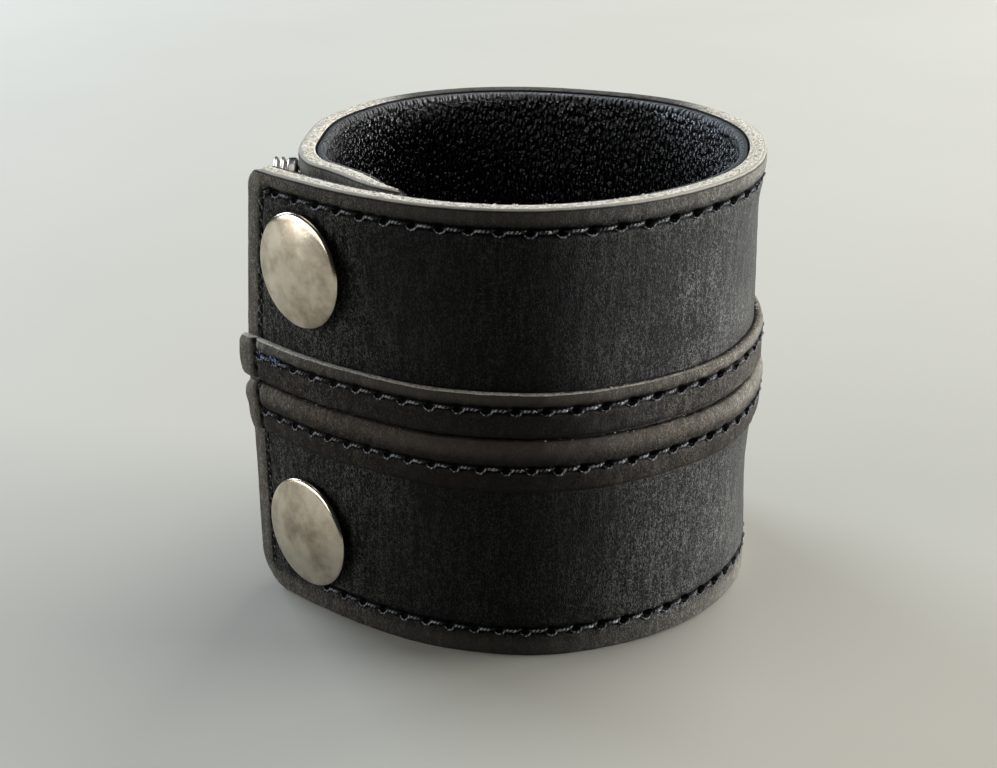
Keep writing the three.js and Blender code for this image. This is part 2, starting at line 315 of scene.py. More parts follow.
class Ring:
    """The outline of a wall's section, once round: from the inside bottom, over the bottom edge,
    up the outer face, over the top edge and down the inside. Each point has its height, its way out,
    its place up the flattened leather, its kind (0 face, 1 cut edge, 2 inside) and its share of the
    face's relief. The cut edges bow out by the crown. Past the share named rolled, the top edge rolls
    down to the inside by the roll."""

    def __init__(self, outer, inside, rim_steps, crown=0.12, rolled=1.0, roll=0.0):
        low, high = outer[0], outer[-1]
        depth_low, depth_high = low[1] - inside, high[1] - inside
        points = []
        for k in range(rim_steps):
            t = k / rim_steps
            bow = crown * (1 - (2 * t - 1) ** 2)
            points.append((low[0] + crown - bow, inside + t * depth_low,
                           low[0] - (1 - t) * depth_low, 1, t))
        points += [(h, out, h, 0, 1) for h, out in outer]
        points[-1] = (*points[-1][:3], 1, 1)
        for k in range(1, rim_steps + 1):
            t = k / rim_steps
            bow = crown * (1 - (2 * t - 1) ** 2)
            turn = max(t - rolled, 0) / (1 - rolled) if rolled < 1 else 0
            drop = roll * (1 - math.sqrt(1 - turn**2))
            part = 2 if t > rolled else 1
            points.append((high[0] - crown + bow - drop, high[1] - t * depth_high,
                           high[0] + t * depth_high, part, 1 - t))
        points[-1] = (*points[-1][:3], 2, 0)
        span = high[0] - low[0]
        start = high[0] - crown - roll
        for h, _ in reversed(outer[1:-1]):
            t = (high[0] - h) / span
            points.append((start - t * (span - 2 * crown - roll), inside,
                           high[0] + depth_high + t * span, 2, 0))
        points.append(points[0][:2] + (high[0] + depth_high + span, 2, 0))
        self.h, self.out, self.v, self.part, self.face = (np.array(x, float) for x in zip(*points))


def rounded_rows(low, high, radius, levels):
    """Outer face of a flat wall between two heights, with its two edges rounded."""
    turn = [0, 0.08, 0.25, 0.55, 1.0]

    def edge(t):
        return -(radius - math.sqrt(max(radius**2 - (radius - t * radius) ** 2, 0)))

    start = [(low + t * radius, edge(t)) for t in turn]
    rows = [(h, 0.0) for h in levels if low + radius < h < high - radius]
    end = [(high - t * radius, edge(t)) for t in reversed(turn)]
    return start + rows + end


def columns_between(end_steps, length, step, first=0.0):
    """Places along the band: close steps at both ends and even ones between."""
    steps = max(1, round((length - 2 * end_steps[-1]) / step))
    middle = [end_steps[-1] + (length - 2 * end_steps[-1]) * k / steps for k in range(1, steps)]
    return first + np.array(end_steps + middle + [length - e for e in reversed(end_steps)])


def skive(s, out):
    """The tucked end is pared thin towards its end, from the inside."""
    return -out / LEATHER * TUCK_SKIVE * rise(s, *TUCK_PARED) * (out < 0)


def wrapped_wall(name, ring, columns, ends, materials, nodes, relief=None, reach=(10, 6),
                 end_round=0.4, rough=0.0, seed=1, edge_columns=0):
    """A closed wall that follows the band. relief gives the outer face its fine shape. The materials
    are those of the face, of the cut edges and of the inside."""
    bm = new_mesh()
    row_of = bm.verts.layers.int.new("row")
    column_of = bm.verts.layers.int.new("column")
    across, up = len(columns) - 1, len(ring.h) - 1
    verts, cols, rows = sheet_grid(bm, across, up)
    for vert, row, column in zip(verts, rows.tolist(), cols.tolist()):
        vert[row_of], vert[column_of] = row, column
    h = ring.h[rows].copy()
    out = ring.out[rows].copy()
    base = columns[cols]
    first, last = columns[0], columns[-1]
    start, stop = ends(h)
    s = base + (start - first) * np.clip(1 - (base - first) / reach[0], 0, 1)
    s -= (last - stop) * np.clip(1 - (last - base) / reach[1], 0, 1)
    face = ring.face[rows]
    from_end = np.minimum(s - start, stop - s)
    tip = np.clip(end_round - from_end, 0, end_round)
    rounding = end_round - np.sqrt(np.maximum(end_round**2 - tip**2, 0))
    shape = relief(s, h) * face if relief else 0
    out = out + rounding * (1 - 2 * face) + shape + skive(s, out)
    if rough:
        source = np.random.default_rng(seed)
        grain = source.normal(0, rough, len(h))
        edge = (face > 0) & (face < 1)
        h = h + np.where(edge, grain, 0) * np.where(h > HEIGHT / 2, 1, 0)
    layer = bm.loops.layers.uv.active
    places = {v: (a, b) for v, a, b in zip(verts, s.tolist(), ring.v[rows].tolist())}
    for f in bm.faces:
        low = min(v[row_of] for v in f.verts)
        column = min(v[column_of] for v in f.verts)
        kind = 1 if column < edge_columns else ring.part[low]
        f.material_index = int(kind) if kind < len(materials) else 0
        for loop in f.loops:
            loop[layer].uv = places[loop.vert]
    move_all(verts, wrap(s, h, out))
    bmesh.ops.remove_doubles(bm, verts=bm.verts, dist=MERGE)
    caps = []
    for end in (0, across):
        sides = ([], [])
        for edge in bm.edges:
            if edge.is_boundary and all(v[column_of] == end for v in edge.verts):
                a, b = sorted(v[row_of] for v in edge.verts)
                kind = ring.part[b if a == 0 and b > 1 else a]
                if kind != 1:
                    sides[int(kind) // 2].append(edge)
        caps += bmesh.ops.bridge_loops(bm, edges=sides[0] + sides[1])["faces"]
    caps += bmesh.ops.holes_fill(bm, edges=[e for e in bm.edges if e.is_boundary], sides=0)["faces"]
    for f in caps:
        at_start = f.verts[0][column_of] < across / 2
        f.material_index = min(1, len(materials) - 1) if at_start else len(materials) - 1
        for loop in f.loops:
            near_by = [l for l in loop.vert.link_loops if l.face not in caps]
            loop[layer].uv = near_by[0][layer].uv
    bmesh.ops.recalc_face_normals(bm, faces=bm.faces)
    return finished(bm, name, materials, nodes)


def tube(bm, s, h, out, radius, sides=6):
    """A thin closed tube along a line on the band, with its radius at each step."""
    steps = len(s) - 1
    verts, cols, rows = sheet_grid(bm, steps, sides)
    angle = rows / sides * 2 * math.pi
    s, h, out, radius = (np.asarray(v, float) for v in (s, h, out, radius))
    along = np.gradient(np.column_stack([s, h]), axis=0)
    along /= np.maximum(np.linalg.norm(along, axis=1), 1e-9)[:, None]
    side = np.column_stack([-along[:, 1], along[:, 0]])
    r = radius[cols]
    places = wrap(
        s[cols] + side[cols, 0] * np.cos(angle) * r,
        h[cols] + side[cols, 1] * np.cos(angle) * r,
        out[cols] + np.sin(angle) * r,
    )
    move_all(verts, places)
    layer = bm.loops.layers.uv.active
    uv = {v: (a * THREAD_MAP, b) for v, a, b in zip(verts, s[cols].tolist(), (rows / sides).tolist())}
    for f in {f for v in verts for f in v.link_faces}:
        for loop in f.loops:
            loop[layer].uv = uv[loop.vert]
    return verts


# Materials

# The borders' paler tone away from the front: partly wear, partly painted light on the sides that the lamps
# reach
WORN_LIT_BORDER = "8d897f"
# How fast a thread's own map runs along it, and where along that map its painted highlight fades
THREAD_MAP = 0.3
THREAD_GLINT_FADE = (15, 22)


def make(tree, kind, values=None, **settings):
    node = tree.nodes.new(kind)
    for key, value in settings.items():
        setattr(node, key, value)
    for key, value in (values or {}).items():
        socket = node.inputs[key]
        if isinstance(value, bpy.types.NodeSocket):
            tree.links.new(value, socket)
        else:
            socket.default_value = value
    return node


class Look:
    """A material in the making, with short names for the usual nodes."""

    def __init__(self, name):
        self.material = bpy.data.materials.new(name)
        self.material.use_nodes = True
        self.tree = self.material.node_tree
        self.shader = next(n for n in self.tree.nodes if n.type == "BSDF_PRINCIPLED")

    def uv(self):
        node = make(self.tree, "ShaderNodeUVMap", uv_map=MAP)
        return node.outputs["UV"]

    def place(self):
        return make(self.tree, "ShaderNodeTexCoord").outputs["Object"]

    def parts(self, vector):
        node = make(self.tree, "ShaderNodeSeparateXYZ", {"Vector": vector})
        return node.outputs["X"], node.outputs["Y"], node.outputs["Z"]

    def scaled(self, vector, x, y, z=1.0):
        node = make(self.tree, "ShaderNodeVectorMath", {0: vector, 1: (x, y, z)}, operation="MULTIPLY")
        return node.outputs["Vector"]

    def noise(self, vector, scale, detail, roughness, distortion=0.0):
        node = make(self.tree, "ShaderNodeTexNoise", {
            "Vector": self.scaled(vector, *scale), "Scale": 1.0, "Detail": detail,
            "Roughness": roughness, "Distortion": distortion,
        })
        return node.outputs["Fac"]

    def cells(self, vector):
        node = make(self.tree, "ShaderNodeTexVoronoi", {"Vector": vector, "Scale": 1.0}, feature="F1")
        return node.outputs["Distance"]

    def math(self, operation, a, b=0.0):
        return make(self.tree, "ShaderNodeMath", {0: a, 1: b}, operation=operation).outputs[0]

    def plus(self, a, b):
        return self.math("ADD", a, b)

    def minus(self, a, b):
        return self.math("SUBTRACT", a, b)

    def times(self, a, b):
        return self.math("MULTIPLY", a, b)

    def most(self, a, b):
        return self.math("MAXIMUM", a, b)

    def distance(self, x, y):
        return self.math("SQRT", self.plus(self.times(x, x), self.times(y, y)))

    def ease(self, value, low, high, to_low=0.0, to_high=1.0):
        node = make(self.tree, "ShaderNodeMapRange", {
            "Value": value, "From Min": low, "From Max": high, "To Min": to_low, "To Max": to_high,
        }, interpolation_type="SMOOTHSTEP")
        return node.outputs["Result"]

    def blend(self, factor, first, second):
        node = make(self.tree, "ShaderNodeMix", data_type="RGBA")
        for index, value in ((0, factor), (6, first), (7, second)):
            if isinstance(value, bpy.types.NodeSocket):
                self.tree.links.new(value, node.inputs[index])
            else:
                node.inputs[index].default_value = colour(value) if index else value
        return node.outputs[2]

    def bump(self, height, distance, strength=1.0, under=None):
        values = {"Height": height, "Distance": distance * MM, "Strength": strength}
        if under is not None:
            values["Normal"] = under
        return make(self.tree, "ShaderNodeBump", values).outputs["Normal"]

    def set(self, **values):
        for key, value in values.items():
            socket = self.shader.inputs[key.replace("_", " ")]
            if isinstance(value, bpy.types.NodeSocket):
                self.tree.links.new(value, socket)
            elif isinstance(value, str):
                socket.default_value = colour(value)
            else:
                socket.default_value = value
        return self.material


def colour(code):
    """A colour as the shader takes it, from its six-figure screen value."""
    parts = [int(code[i : i + 2], 16) / 255 for i in (0, 2, 4)]
    return (*[p / 12.92 if p <= 0.04045 else ((p + 0.055) / 1.055) ** 2.4 for p in parts], 1.0)


def hole_mask(look, u, v, level, first, pitch, half_long, half_high):
    """One on each awl hole of a stitch line and nought between them."""
    step = look.math("DIVIDE", look.minus(u, first), pitch)
    away = look.minus(step, look.math("ROUND", step))
    x = look.times(away, pitch / half_long)
    y = look.math("DIVIDE", look.minus(v, level), half_high)
    return look.ease(look.distance(x, y), 0.75, 1.15, 1.0, 0.0)


def line_mask(look, v, level, half):
    away = look.math("ABSOLUTE", look.minus(v, level))
    return look.ease(away, half * 0.35, half, 1.0, 0.0)


def stitch_shade_marks(look, u, v, line):
    """Where a stitch line's groove and awl holes are painted dark: painted shade in the hollows."""
    level, first, pitch = line
    if line is TOP_LINE:
        v = look.plus(v, look.times(look.math("MINIMUM", u, DRIFT_END), DRIFT))
    holes = hole_mask(look, u, v, level, first, pitch, half_long=0.86, half_high=0.58)
    groove = look.times(line_mask(look, v, level, 0.62), 0.8)
    begun = look.ease(u, first - 1.1, first - 0.5)
    return look.times(look.most(holes, groove), begun)


def flap_shade_marks(look, u, v, turned):
    """The same for the upright line near the flap's end and for the arc at its top."""
    begun = look.ease(v, BOTTOM_LINE[0] - 0.6, BOTTOM_LINE[0])
    ended = look.ease(v, FLAP_LINE_TOP - 0.1, FLAP_LINE_TOP + 0.4, 1.0, 0.0)
    holes = hole_mask(look, v, turned, FLAP_LINE, BOTTOM_LINE[0], FLAP_PITCH, half_long=0.6, half_high=0.5)
    groove = look.times(line_mask(look, turned, FLAP_LINE, 0.6), 0.95)
    line = look.times(look.times(look.most(holes, groove), begun), ended)
    x = look.minus(u, TURN_CENTRE)
    y = look.minus(v, FLAP_LINE_TOP)
    arc = line_mask(look, look.distance(x, y), TURN_RADIUS, 0.62)
    arc = look.times(arc, look.ease(x, 0.0, 0.5, 1.0, 0.0))
    return look.most(line, look.times(arc, look.ease(y, -0.4, 0.0)))


def wear_and_shade_share(look, uv, u, wrinkles, fine):
    """How far the wax is worn off along upright wrinkles. Towards the darkest place on the front the share
    falls off, which is painted shade where the front turns from the lamps.
    """
    streaks = look.noise(uv, (1.5, 0.18), 3, 0.55, 0.4)
    broad = look.noise(uv, (0.09, 0.07), 3, 0.55)
    share = look.ease(look.plus(wrinkles, look.times(look.minus(streaks, 0.5), 0.25)), 0.485, 0.60)
    share = look.times(share, look.ease(broad, 0.30, 0.66, 0.50, 1.0))
    share = look.times(share, look.ease(fine, 0.38, 0.58, 0.15, 1.0))
    # Less grey towards the front and more at the sides: painted shade on the front, painted light on the
    # sides
    from_shaded_front = look.minus(u, SHADED_FRONT)
    to_front = look.math("ABSOLUTE", from_shaded_front)
    share = look.times(share, look.ease(to_front, 4, 34, 0.20, 1.15))
    smoothed = look.ease(from_shaded_front, 24, 48, 0.0, 0.4)
    share = look.plus(share, look.times(smoothed, look.minus(0.36, share)))
    return share, to_front


def leather_look(name, dark, light, border, lines, borders, lip=None):
    """Waxed leather, worn grey, with upright wrinkles, paler borders and stitch lines. The grooves and holes
    of the stitch lines are painted dark as shade, and the grey falls off towards the front as painted shade.
    A border is a level and how far it fades in, downwards if that is negative. lip is where the rim turns
    pale."""
    look = Look(name)
    uv = look.uv()
    u, v, _ = look.parts(uv)
    wobble = look.noise(uv, (0.35, 0.35), 3, 0.6)
    wrinkles = look.noise(uv, (4.4, 2.1), 4, 0.62, 1.5)
    fine = look.noise(uv, (9.0, 6.5), 3, 0.65, 0.4)
    share, to_front = wear_and_shade_share(look, uv, u, wrinkles, fine)
    base = look.blend(share, dark, light)
    border = look.blend(look.ease(to_front, 22, 44), border, WORN_LIT_BORDER)
    for level, fade in borders:
        away = look.times(look.minus(v, level), math.copysign(1, fade))
        zone = look.ease(look.plus(away, look.times(wobble, 0.8)), 0.2, abs(fade) + 0.4)
        zone = look.times(zone, look.ease(share, 0.0, 0.9, 0.22, 1.0))
        base = look.blend(zone, base, border)
    past = look.most(look.minus(look.math("DIVIDE", v, HEIGHT), SLANT_FROM), 0.0)
    turned = look.minus(u, look.times(past, FLAP_SLANT / (1 - SLANT_FROM)))
    zone = look.ease(look.plus(turned, look.times(wobble, 0.8)), 2.2, 3.4, 0.9, 0.0)
    base = look.blend(look.times(zone, look.ease(share, 0.0, 0.9, 0.35, 1.0)), base, border)
    if lip:
        level, tone = lip
        wavy = look.plus(v, look.times(look.minus(wobble, 0.5), 0.3))
        base = look.blend(look.times(look.ease(wavy, level, level + 0.18), 0.8), base, tone)
        base = look.blend(look.times(line_mask(look, v, level, 0.16), 0.75), base, "0c0b0a")
    marks = flap_shade_marks(look, u, v, turned)
    for line in lines:
        marks = look.most(marks, stitch_shade_marks(look, u, v, line))
    # The grooves and awl holes are painted near black: painted shade in the hollows
    base = look.blend(look.times(marks, 0.96), base, "020202")
    normal = look.bump(look.minus(1.0, marks), 0.35, 0.6)
    height = look.plus(look.times(wrinkles, 0.75), look.times(fine, 0.25))
    normal = look.bump(height, 0.26, 0.8, normal)
    rough = look.ease(share, 0.0, 1.0, 0.52, 0.62)
    return look.set(Base_Color=base, Roughness=rough, Normal=normal, Specular_IOR_Level=0.07)


def raw_edge_look(name, pale, dark, grain=1.0, dim_span=None, dim_from=0.0, worn=None):
    """The cut edge of the leather: pale fibres with dark specks. Over a span along the band it is dim, from a
    way across the edge; on the upper strip this is painted shade where the edge meets the band. Over a worn
    stretch it fades to a dull brown."""
    look = Look(name)
    uv = look.uv()
    body = look.noise(uv, (1.6 * grain, 2.4 * grain), 5, 0.7, 0.5)
    specks = look.noise(uv, (4.2 * grain, 5.0 * grain), 3, 0.7, 0.2)
    base = look.blend(look.ease(body, 0.34, 0.62), dark, pale)
    base = look.blend(look.times(look.ease(specks, 0.53, 0.64), 0.72), base, "453e36")
    u, v, _ = look.parts(uv)
    if worn:
        base = look.blend(look.ease(u, *worn, 0.0, 0.85), base, "544e44")
    if dim_span:
        begin = look.ease(u, dim_span[0], dim_span[0] + 12)
        end = look.ease(u, dim_span[1] - 10, dim_span[1], 1.0, 0.0)
        inner = look.ease(look.plus(v, look.times(body, 0.6)), dim_from, dim_from + 0.35)
        dim = look.times(look.times(begin, end), inner)
        base = look.blend(look.times(dim, 0.9), base, "1f1d19")
    normal = look.bump(look.plus(body, look.times(specks, 0.6)), 0.22, 0.8)
    return look.set(Base_Color=base, Roughness=0.85, Normal=normal, Specular_IOR_Level=0.25)


def lining_look():
    """Black pebbled lining leather: small glossy pebbles, longer upwards, and duller at the top edge. The
    crests are painted lighter and the hollows black, as painted highlight and painted shade.
    """
    look = Look("pebbled_lining")
    uv = look.uv()
    bend = look.noise(uv, (1.1, 1.1), 2, 0.5)
    bent = make(look.tree, "ShaderNodeVectorMath", {0: look.scaled(uv, 1.5, 1.05), 1: bend}, operation="ADD")
    small = look.noise(uv, (5.0, 5.0), 3, 0.6)
    away = look.times(look.cells(bent.outputs["Vector"]), 1.75)
    pebbles = look.minus(1.0, look.times(away, away))
    # Lighter crests and black hollows: painted highlight on the pebbles and painted shade between them
    base = look.blend(look.ease(pebbles, 0.35, 0.95), "010102", "14181c")
    normal = look.bump(look.plus(pebbles, look.times(small, 0.08)), 0.38)
    up = look.parts(look.place())[2]
    dull = look.ease(up, (HEIGHT - 1.6) * MM, (HEIGHT - 0.8) * MM, 0.0, 0.35)
    rough = look.plus(look.ease(small, 0.3, 0.7, 0.17, 0.25), dull)
    return look.set(Base_Color=base, Roughness=rough, Normal=normal, Specular_IOR_Level=0.8)


def thread_look(name, tone, glint, share_low, share_high):
    """Waxed thread, laid from fine twisted strands; the glint colour on the twist is a painted highlight,
    fading past the caps.
    """
    look = Look(name)
    uv = look.uv()
    u, v, _ = look.parts(uv)
    twist = look.math("SINE", look.times(look.plus(look.times(u, 7.0), v), 6.283))
    fuzz = look.noise(uv, (4.0, 1.5), 3, 0.6)
    share = look.ease(look.plus(look.times(twist, 0.12), fuzz), share_low, share_high)
    glint = look.blend(look.ease(u, *THREAD_GLINT_FADE), glint, "3c3e41")
    base = look.blend(share, tone, glint)
    normal = look.bump(look.plus(look.times(twist, 0.5), fuzz), 0.05, 0.6)
    return look.set(Base_Color=base, Roughness=0.55, Normal=normal, Specular_IOR_Level=0.25)


def nickel_look(name, tone, shade, rough_low, rough_high):
    """Satin nickel, with faint wear marks and a duller tone in patches."""
    look = Look(name)
    place = look.place()
    cloud = look.noise(place, (230, 230, 230), 4, 0.6)
    scratch = look.noise(place, (900, 2600, 2600), 3, 0.7, 0.3)
    base = look.blend(look.ease(cloud, 0.35, 0.7), tone, shade)
    rough = look.ease(cloud, 0.3, 0.75, rough_low, rough_high)
    normal = look.bump(scratch, 0.012, 0.35)
    return look.set(Base_Color=base, Metallic=1.0, Roughness=rough, Normal=normal)


def floor_look():
    look = Look("pale_floor")
    cloud = look.noise(look.place(), (6, 6, 6), 4, 0.55)
    base = look.blend(cloud, "a09e94", "aba99f")
    return look.set(Base_Color=base, Roughness=0.75, Specular_IOR_Level=0.2)


outer_leather = leather_look(
    "waxed_band_leather", "040404", "72726e", "625e56", lines=(TOP_LINE, BOTTOM_LINE),
    borders=((HEIGHT - 2.4, 1.2), (3.2, -1.6)), lip=(HEIGHT - 0.34, "a39f92"),
)
raw_edge = raw_edge_look("raw_cut_edge", "e2ddce", "938b7a", dim_span=DIM_RIM, dim_from=HEIGHT)
# The band's inside, seen in the gap above the lining, is painted near black: painted shadow in that gap
shaded_flesh_side = raw_edge_look("shaded_flesh_side", "15140f", "090908")
upper_leather = leather_look(
    "upper_strip_leather", "141210", "625d55", "6a645a", lines=(UPPER_LINE,),
    borders=((UPPER_STRIP[1] - 1.4, 0.9),),
)
lower_leather = leather_look(
    "lower_strip_leather", "141210", "5c564d", "6f665a", lines=(LOWER_LINE,),
    borders=((LOWER_STRIP[1] - 2.6, 1.6),),
)
# Past a way along, the inner part of this edge next to the band is darkened: painted shade where the strip
# meets the band
strip_edge = raw_edge_look(
    "strip_cut_edge", "dedacc", "8d8676", grain=1.4, dim_span=(STRIP_SHADE_START, LENGTH),
    dim_from=UPPER_STRIP[1] + 0.75, worn=STRIP_WORN,
)
lining_leather = lining_look()
# The lining's cut edge is painted bluish grey: painted reflection of the sky on its rolled top
lining_edge_sheen = raw_edge_look("lining_cut_edge_sheen", "454c4e", "121414", grain=1.9)
dark_thread = thread_look("waxed_thread", "060608", "20242b", 0.5, 0.9)
# The pale glint colours of the strands are painted highlights on the stitches
grey_strand = thread_look("lit_strand", "131519", "7e8083", 0.40, 0.60)
dim_strand = thread_look("dim_strand", "0c0d0f", "6c6c6c", 0.42, 0.62)
blue_fluff = thread_look("worn_blue_fluff", "3c4a68", "7f90b4", 0.36, 0.56)
cap_nickel = nickel_look("satin_cap_nickel", "cfc5b2", "968c7a", 0.16, 0.27)
stud_nickel = nickel_look("stud_nickel", "b4b0a8", "7d7870", 0.22, 0.40)


# Leather walls


def levels(low, high, step, fine_at, fine_half, fine_step=0.2):
    """Heights a step apart, with finer ones around the stitch lines."""
    marks = set(np.round(np.arange(low, high + 1e-6, step), 3).tolist())
    for middle in fine_at:
        marks = {m for m in marks if abs(m - middle) > fine_half}
        fine = np.arange(middle - fine_half, middle + fine_half + 1e-6, fine_step)
        marks |= set(np.round(fine, 3).tolist())
    return sorted(marks)


def drifted(s, line):
    """The level of a stitch line at a way along the band."""
    return line[0] - (DRIFT * np.minimum(s, DRIFT_END) if line is TOP_LINE else 0)


def stitch_relief(s, h, line, last, half_groove=0.62):
    """The pressed groove of a stitch line, its awl holes and the leather swelling between them."""
    _, first, pitch = line
    level = drifted(s, line)
    along = (s - first) / pitch
    to_hole = (along - np.rint(along)) * pitch
    inside = rise(s, first - 1.8, first - 0.6) * (1 - rise(s, last + 0.6, last + 1.8))
    groove = -GROOVE * near(h, level, half_groove)
    hole = -HOLE_DEPTH * near(to_hole, 0, 0.55) * near(h, level, 0.42)
    lip = 0.07 * near(np.abs(h - level), 1.15, 0.35) * (0.6 + 0.4 * np.cos(2 * math.pi * along))
    return (groove + hole + lip) * inside


def flap_relief(s, h):
    """The groove and holes of the upright line near the flap's end, and the arc at its top."""
    away = s - flap_end(h) - FLAP_LINE
    inside = rise(h, BOTTOM_LINE[0] - 0.8, BOTTOM_LINE[0]) * (1 - rise(h, FLAP_LINE_TOP, FLAP_LINE_TOP + 0.6))
    along = (h - BOTTOM_LINE[0]) / FLAP_PITCH
    to_hole = (along - np.rint(along)) * FLAP_PITCH
    line = (-0.30 * near(away, 0, 0.55) - 0.25 * near(away, 0, 0.4) * near(to_hole, 0, 0.4)) * inside
    x, y = s - TURN_CENTRE, h - FLAP_LINE_TOP
    arc = near(np.hypot(x, y), TURN_RADIUS, 0.6) * (1 - rise(x, 0, 0.6)) * rise(y, -0.4, 0)
    return line - 0.34 * arc


def cap_press(s, h):
    """The leather lies a little lower round the caps."""
    total = 0
    for level in CAP_LEVELS.values():
        far = np.hypot(s - flap_end(level) - CAP_END_INSET, h - level)
        total = total - 0.16 * (1 - rise(far, CAP_DIAMETER / 2 - 0.5, CAP_DIAMETER / 2 + 1.4))
    return total


def band_relief(s, h):
    last = LENGTH - BAND_LINE_END
    relief = stitch_relief(s, h, TOP_LINE, last) + stitch_relief(s, h, BOTTOM_LINE, last)
    relief = relief + flap_relief(s, h) + cap_press(s, h)
    strips = near(h, SLIT_LEVEL, 5.5) * near(s, 0.5, 2.5)
    return relief + 0.03 * np.sin(s * 1.9 + h * 0.7) * np.sin(h * 1.3 - s * 0.4) + 0.25 * strips


def make_band():
    fine = levels(1.1, HEIGHT - 1, 1.3, (BOTTOM_LINE[0], TOP_LINE[0] - 0.3), fine_half=1.4)
    outer = rounded_rows(0, HEIGHT, 0.42, fine)
    ring = Ring(outer, -LEATHER, rim_steps=5)
    columns = columns_between([0, 0.08, 0.22, 0.42], LENGTH, step=0.45)
    wrapped_wall(
        "band_leather", ring, columns, band_ends, [outer_leather, raw_edge, shaded_flesh_side],
        ["outer_band"], band_relief, rough=0.07, seed=3, edge_columns=2, end_round=0.3,
    )


def make_lining():
    face = -(LEATHER + BOND_GAP)
    outer = [(h, face) for h in np.linspace(LINING_SETBACK, HEIGHT - LINING_SETBACK, 47)]
    ring = Ring(outer, -WALL, rim_steps=9, crown=0.06, rolled=0.34, roll=0.45)
    columns = columns_between([0, 0.1, 0.3], LENGTH, step=0.9)

    def ends(h):
        start, stop = band_ends(h)
        return start + LINING_END_SETBACK, stop - LINING_END_SETBACK

    wrapped_wall("lining_leather", ring, columns, ends, [lining_leather, lining_edge_sheen],
                 ["lining"], end_round=0.15)


def seat_behind(front_s):
    """The way along to the tucked end's face straight behind a place on the flap."""
    place, tangent = band.at(front_s)
    trial = LENGTH - np.linspace(0, OVERLAP, 401)
    back, _ = band.at(trial)
    return trial[np.argmin(np.abs((back - place) @ tangent[0]))]


cap_seats = {key: flap_end(level) + CAP_END_INSET for key, level in CAP_LEVELS.items()}
spare_levels = {"upper": HEIGHT - SPARE_EDGE_INSET, "lower": SPARE_EDGE_INSET}
spare_seats = {key: (seat_behind(cap_seats[key]) - SPARE_SPACING, spare_levels[key]) for key in CAP_LEVELS}
strip_stop = spare_seats["upper"][0] - STRIP_END_GAP


def pinch(s, h):
    """The upright line near the flap's end pulls the strips down into the band."""
    return -0.82 * near(s - flap_end(h), FLAP_LINE, 0.52)


# The strips' faces: the share of the way up, and of the way out
UPPER_TABLE = [(0, 0.64), (0.04, 0.84), (0.12, 0.95), (0.5, 0.98), (0.9, 1.0), (0.96, 0.97), (1, 0.86)]
LOWER_TABLE = [(0, 0.34), (0.04, 0.50), (0.14, 0.62), (0.5, 0.72), (0.62, 0.86), (0.72, 1.0), (0.87, 1.0),
               (0.95, 0.88), (1, 0.56)]


def strip_face(table, span, thickness, level):
    """How far out a strip's face stands at a level."""
    share = (level - span[0]) / (span[1] - span[0])
    return float(np.interp(share, *zip(*table))) * (thickness + FIT)


def make_strip(name, node, table, span, thickness, line, overhang, seed, materials, press=0.0):
    """A strip sewn round the band, from the flap's end to where the strips stop at the back."""
    low, high = span
    strip_start = float(flap_end(SLIT_LEVEL)) - overhang
    heights = levels(low, high, 0.4, (line[0],), fine_half=0.9, fine_step=0.18)
    if heights[-1] < high - TINY:
        heights.append(high)
    outer = [(h, strip_face(table, span, thickness, h)) for h in heights]
    ring = Ring(outer, STRIP_SEAT, rim_steps=3, crown=0.04)
    columns = columns_between([0, 0.1, 0.3, 0.6], strip_stop - strip_start, step=0.42, first=strip_start)

    def relief(s, h):
        shape = stitch_relief(s, h, line, strip_stop - STRIP_LINE_END, 0.5) * 0.8 + pinch(s, h)
        shape = shape - press * rise(s, *PRESS_SPAN) * (thickness + FIT)
        return shape + 0.04 * np.sin(s * 0.9 + h) + 0.03 * np.sin(s * 2.3 - h * 2)

    def ends(h):
        curl = 0.7 * np.abs((h - (low + high) / 2) / (high - low) * 2) ** 4
        return strip_start + curl + 0.04 * (high - h), strip_stop - curl

    wrapped_wall(name, ring, columns, ends, materials, [node], relief,
                 reach=(3, 3), end_round=0.5, rough=0.05, seed=seed)


make_band()
make_lining()
make_strip("upper_strip_leather", "upper_strip", UPPER_TABLE, UPPER_STRIP, UPPER_THICKNESS, UPPER_LINE,
           UPPER_OVERHANG, 5, [upper_leather, strip_edge], PRESS)
make_strip("lower_strip_leather", "lower_strip", LOWER_TABLE, LOWER_STRIP, LOWER_THICKNESS, LOWER_LINE,
           LOWER_OVERHANG, 6, [lower_leather])


# Stitches


def sewn(name, bm, tone):
    """Closes the tubes of a mesh and finishes it as a piece."""
    bmesh.ops.remove_doubles(bm, verts=bm.verts, dist=THREAD_MERGE)
    bmesh.ops.holes_fill(bm, edges=[e for e in bm.edges if e.is_boundary], sides=0)
    bmesh.ops.recalc_face_normals(bm, faces=bm.faces)
    return finished(bm, name, [tone])


def thread_bodies(bm, count, start, pitch, place, source):
    """The dark thread between the awl holes: it dives into a hole at each end."""
    for k in range(count):
        t = np.linspace(0, 1, 7)
        a = start + k * pitch + 0.2 + t * (pitch - 0.4)
        arch = np.sin(math.pi * t)
        b = (0.22 + source.uniform(-0.06, 0.06)) * (t - 0.5) + source.uniform(-0.05, 0.05) * arch
        sink = -0.10 - 0.6 * (1 - arch**0.45)
        radius = 0.30 * (0.72 + 0.28 * arch)
        radius[0] = radius[-1] = 0.05
        s, h, out = place(a, b, sink)
        tube(bm, s, h, out, radius)


